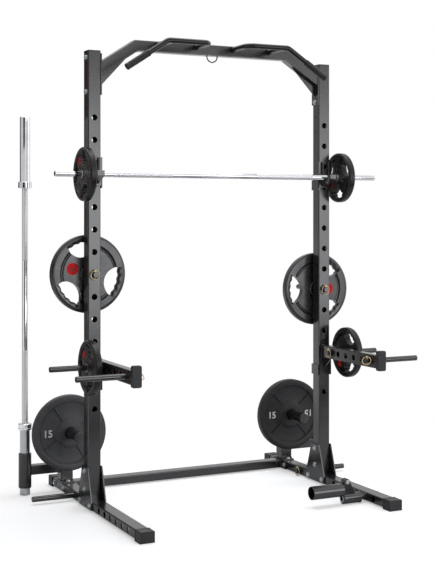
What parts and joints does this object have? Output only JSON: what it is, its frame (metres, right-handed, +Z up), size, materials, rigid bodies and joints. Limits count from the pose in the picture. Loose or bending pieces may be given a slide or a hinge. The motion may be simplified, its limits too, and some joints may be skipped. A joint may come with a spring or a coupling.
{
  "type": "barbell rack",
  "caption": "Half rack with spotter arms, J-hooks, multi-grip pull-up beam, landmine, storage pegs, barbell, long bar and weight plates",
  "frame": {"origin": "middle of the overall box's footprint, on the floor under the soles of the foot caps", "axes": "X to the right seen from the front, Y to the rear, Z up; the lifter stands in front, on the spotter arms' side (-Y)"},
  "size_m": [1.696, 1.173, 2.105],
  "materials": {
    "coated_steel": "satin powder coat",
    "gloss_coat": "gloss",
    "black_rubber": "matte",
    "plate_rubber": "satin",
    "cast_iron": "painted, fine cast grain",
    "bar_chrome": "polished, knurled grip zones",
    "zinc_steel": "bright zinc",
    "yellow_zinc": "yellow zinc plate",
    "grip_sleeve": "matte"
  },
  "bodies": {
    "frame": {"arm_cap_left": "black_rubber", "arm_cap_right": "black_rubber", "arm_left_far_peg": "coated_steel", "arm_left_near_peg": "coated_steel", "arm_right_far_peg": "coated_steel", "arm_right_near_peg": "coated_steel", "back_left_peg": "coated_steel", "back_right_peg": "coated_steel", "base_left_peg": "coated_steel", "base_rail_left": "coated_steel", "base_rail_right": "coated_steel", "base_right_peg": "coated_steel", "crossmember": "coated_steel", "foot_cap_left_front": "black_rubber", "foot_cap_left_rear": "black_rubber", "foot_cap_right_front": "black_rubber", "foot_cap_right_rear": "black_rubber", "grip_sleeve_left": "grip_sleeve", "grip_sleeve_right": "grip_sleeve", "gusset_left_inner": "coated_steel", "gusset_left_outer": "coated_steel", "gusset_right_inner": "coated_steel", "gusset_right_outer": "coated_steel", "j_hook_left": "coated_steel", "j_hook_right": "coated_steel", "pullup_beam": "coated_steel", "pullup_grip_left": "gloss_coat", "pullup_grip_right": "gloss_coat", "rear_post_left": "coated_steel", "rear_post_right": "coated_steel", "spotter_arm_left": "coated_steel", "spotter_arm_right": "coated_steel", "swivel_pin": "coated_steel", "upright_cap_left": "black_rubber", "upright_cap_right": "black_rubber", "upright_left": "coated_steel", "upright_right": "coated_steel"},
    "barbell": {"barbell": "bar_chrome"},
    "bar_plate_left": {"bar_plate_left": "plate_rubber"},
    "bar_plate_right": {"bar_plate_right": "plate_rubber"},
    "arm_plate_left": {"arm_plate_left": "plate_rubber"},
    "arm_plate_right": {"arm_plate_right": "plate_rubber"},
    "back_plate_left": {"back_plate_left": "plate_rubber"},
    "back_plate_right": {"back_plate_right": "plate_rubber"},
    "horn_plate_left": {"horn_plate_left": "cast_iron"},
    "horn_plate_right": {"horn_plate_right": "cast_iron"},
    "long_bar": {"long_bar_shaft": "bar_chrome"},
    "long_bar_sleeve_lower": {"long_bar_sleeve_lower": "bar_chrome"},
    "long_bar_sleeve_upper": {"long_bar_sleeve_upper": "bar_chrome"},
    "arm_left_near_ring": {"arm_left_near_ring": "yellow_zinc"},
    "base_left_ring": {"base_left_ring": "yellow_zinc"},
    "back_left_ring": {"back_left_ring": "yellow_zinc"},
    "arm_left_far_ring": {"arm_left_far_ring": "yellow_zinc"},
    "arm_right_near_ring": {"arm_right_near_ring": "yellow_zinc"},
    "base_right_ring": {"base_right_ring": "yellow_zinc"},
    "back_right_ring": {"back_right_ring": "yellow_zinc"},
    "arm_right_far_ring": {"arm_right_far_ring": "yellow_zinc"},
    "swivel": {"swivel_clevis": "coated_steel", "swivel_bolt": "zinc_steel"},
    "swivel_tube": {"swivel_tube": "coated_steel"}
  },
  "joints": [
    {"name": "barbell_lift", "type": "slide", "parent": "frame", "child": "barbell", "axis": [0, 0, 1], "range_m": [0, 0.25]},
    {"name": "bar_plate_left_slide", "type": "slide", "parent": "barbell", "child": "bar_plate_left", "axis": [-1, 0, 0], "range_m": [0, 0.15]},
    {"name": "bar_plate_right_slide", "type": "slide", "parent": "barbell", "child": "bar_plate_right", "axis": [1, 0, 0], "range_m": [-0.015, 0.2]},
    {"name": "arm_plate_left_slide", "type": "slide", "parent": "frame", "child": "arm_plate_left", "axis": [-1, 0, 0], "range_m": [0, 0.19]},
    {"name": "arm_plate_right_slide", "type": "slide", "parent": "frame", "child": "arm_plate_right", "axis": [1, 0, 0], "range_m": [-0.018, 0.17]},
    {"name": "back_plate_left_slide", "type": "slide", "parent": "frame", "child": "back_plate_left", "axis": [0, 1, 0], "range_m": [-0.008, 0.175]},
    {"name": "back_plate_right_slide", "type": "slide", "parent": "frame", "child": "back_plate_right", "axis": [0, 1, 0], "range_m": [-0.008, 0.175]},
    {"name": "horn_plate_left_slide", "type": "slide", "parent": "frame", "child": "horn_plate_left", "axis": [0, -1, 0], "range_m": [0, 0.165]},
    {"name": "horn_plate_right_slide", "type": "slide", "parent": "frame", "child": "horn_plate_right", "axis": [0, -1, 0], "range_m": [0, 0.165]},
    {"name": "long_bar_lift", "type": "slide", "parent": "frame", "child": "long_bar", "axis": [0, 0, 1], "range_m": [0, 0.2]},
    {"name": "long_bar_lower_spin", "type": "hinge", "parent": "long_bar", "child": "long_bar_sleeve_lower", "pos_m": [-0.807, 0.4325, 0.167], "axis": [0, 0, 1], "continuous": true},
    {"name": "long_bar_upper_spin", "type": "hinge", "parent": "long_bar", "child": "long_bar_sleeve_upper", "pos_m": [-0.807, 0.4325, 1.603], "axis": [0, 0, 1], "continuous": true},
    {"name": "arm_left_near_ring_swing", "type": "hinge", "parent": "frame", "child": "arm_left_near_ring", "pos_m": [-0.578, -0.0635, 0.663], "axis": [0, -1, 0], "range_deg": [0, 150]},
    {"name": "base_left_ring_swing", "type": "hinge", "parent": "frame", "child": "base_left_ring", "pos_m": [-0.568, 0.2195, 0.043], "axis": [0, -1, 0], "range_deg": [0, 150]},
    {"name": "back_left_ring_swing", "type": "hinge", "parent": "frame", "child": "back_left_ring", "pos_m": [-0.61, 0.0145, 1.063], "axis": [-1, 0, 0], "range_deg": [0, 150]},
    {"name": "arm_left_far_ring_swing", "type": "hinge", "parent": "frame", "child": "arm_left_far_ring", "pos_m": [-0.578, -0.4035, 0.663], "axis": [-0.7071, -0.7071, 0], "range_deg": [0, 100]},
    {"name": "arm_right_near_ring_swing", "type": "hinge", "parent": "frame", "child": "arm_right_near_ring", "pos_m": [0.548, -0.0635, 0.663], "axis": [0, 1, 0], "range_deg": [0, 150]},
    {"name": "base_right_ring_swing", "type": "hinge", "parent": "frame", "child": "base_right_ring", "pos_m": [0.538, 0.2195, 0.043], "axis": [0, 1, 0], "range_deg": [0, 150]},
    {"name": "back_right_ring_swing", "type": "hinge", "parent": "frame", "child": "back_right_ring", "pos_m": [0.58, 0.0145, 0.963], "axis": [-1, 0, 0], "range_deg": [0, 150]},
    {"name": "arm_right_far_ring_swing", "type": "hinge", "parent": "frame", "child": "arm_right_far_ring", "pos_m": [0.548, -0.4035, 0.663], "axis": [-0.7071, 0.7071, 0], "range_deg": [0, 100]},
    {"name": "swivel_tilt", "type": "hinge", "parent": "frame", "child": "swivel", "pos_m": [0.479, -0.3815, 0.026], "axis": [1, 0, 0], "range_deg": [-60, 60]},
    {"name": "swivel_tube_lift", "type": "hinge", "parent": "swivel", "child": "swivel_tube", "pos_m": [0.445, -0.3815, 0.102], "axis": [0, 1, 0], "range_deg": [0, 100]}
  ]
}
